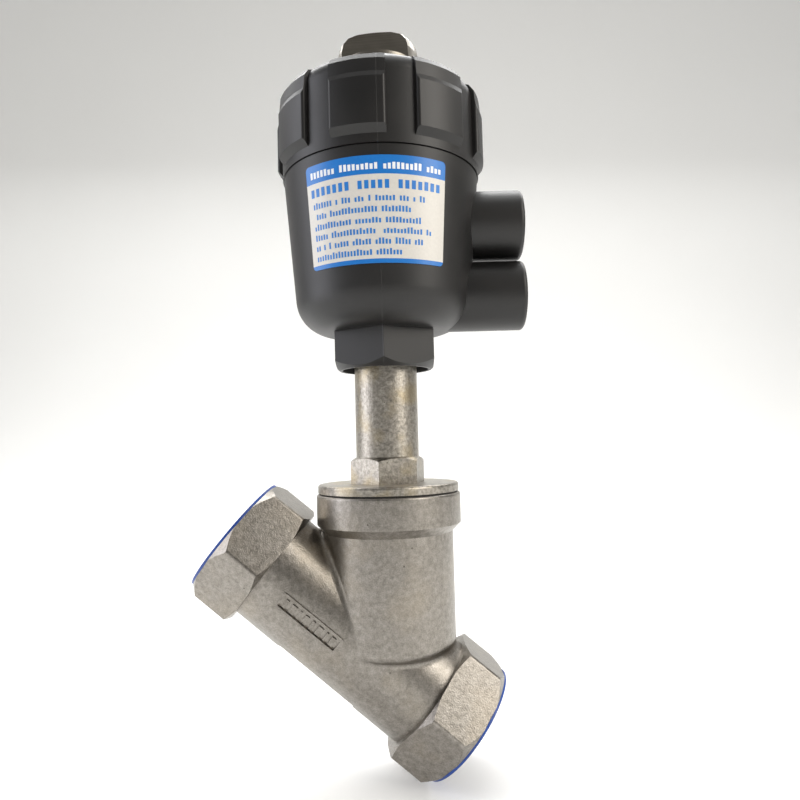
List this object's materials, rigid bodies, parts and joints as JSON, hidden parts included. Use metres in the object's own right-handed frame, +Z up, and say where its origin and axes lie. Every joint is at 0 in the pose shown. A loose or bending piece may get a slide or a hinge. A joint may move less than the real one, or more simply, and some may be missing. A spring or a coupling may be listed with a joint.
{
  "type": "pneumatic angle-seat valve",
  "caption": "Y-pattern angle-seat valve with threaded pipe ends, opened by air under a spring-returned piston and shut by its springs.",
  "frame": {"origin": "centre of the inlet thread's mouth, on the pipe axis", "axes": "+Z up the stem towards the actuator; the pipe axis lies in the XZ plane and falls 40 degrees towards +X; both air ports point towards +X; the label faces -Y"},
  "size_m": [0.111, 0.0698, 0.2436],
  "materials": {
    "cast_stainless": "investment cast, bead blasted",
    "turned_stainless": "turned and lightly blasted",
    "inner_stainless": "turned",
    "spring_steel": "drawn and shot peened",
    "piston_aluminium": "turned",
    "nickel_brass": "nickel plated",
    "cover_metal": "satin",
    "black_nylon": "moulded, fine texture",
    "blue_polyethylene": "moulded",
    "filled_ptfe": "machined",
    "white_ptfe": "machined",
    "red_acetal": "machined",
    "label_film": "printed film",
    "black_rubber": "moulded",
    "gasket_fibre": "cut sheet"
  },
  "bodies": {
    "valve": {"valve_body": "cast_stainless", "inlet_protector": "blue_polyethylene", "outlet_protector": "blue_polyethylene", "body_gasket": "gasket_fibre", "bonnet": "turned_stainless", "gland_nut": "inner_stainless", "guide_bush": "filled_ptfe", "packing_spring": "spring_steel", "packing_base_ring": "inner_stainless", "packing_chevron_1": "white_ptfe", "packing_chevron_2": "white_ptfe", "packing_chevron_3": "white_ptfe", "packing_chevron_4": "white_ptfe", "packing_chevron_5": "white_ptfe", "packing_top_ring": "filled_ptfe", "stem_wiper": "black_rubber", "neck_o_ring": "black_rubber", "neck_washer": "filled_ptfe", "neck_nut": "inner_stainless"},
    "stem": {"stem": "inner_stainless", "disc_holder": "inner_stainless", "disc_seal": "white_ptfe", "disc_retainer": "inner_stainless", "disc_nut": "inner_stainless", "piston": "piston_aluminium", "piston_lip_seal": "black_rubber", "piston_guide_ring": "filled_ptfe", "piston_washer": "inner_stainless", "piston_nut": "inner_stainless", "indicator_rod": "red_acetal"},
    "actuator": {"actuator_housing": "black_nylon", "actuator_cap": "black_nylon", "cap_o_ring": "black_rubber", "spring_seat": "spring_steel", "outer_spring": "spring_steel", "inner_spring": "spring_steel", "rod_bush": "filled_ptfe", "pilot_port_insert": "nickel_brass", "vent_port_insert": "nickel_brass", "indicator_cover": "cover_metal", "label": "label_film"}
  },
  "joints": [
    {"name": "stem_lift", "type": "slide", "parent": "valve", "child": "stem", "axis": [0, 0, 1], "range_m": [0, 0.008], "stiffness_N_per_m": 4000, "springref_m": -0.01, "deforming": ["outer_spring", "inner_spring"]},
    {"name": "actuator_swivel", "type": "hinge", "parent": "valve", "child": "actuator", "pos_m": [-0.02145, 0, 0.13], "axis": [0, 0, 1], "continuous": true}
  ]
}
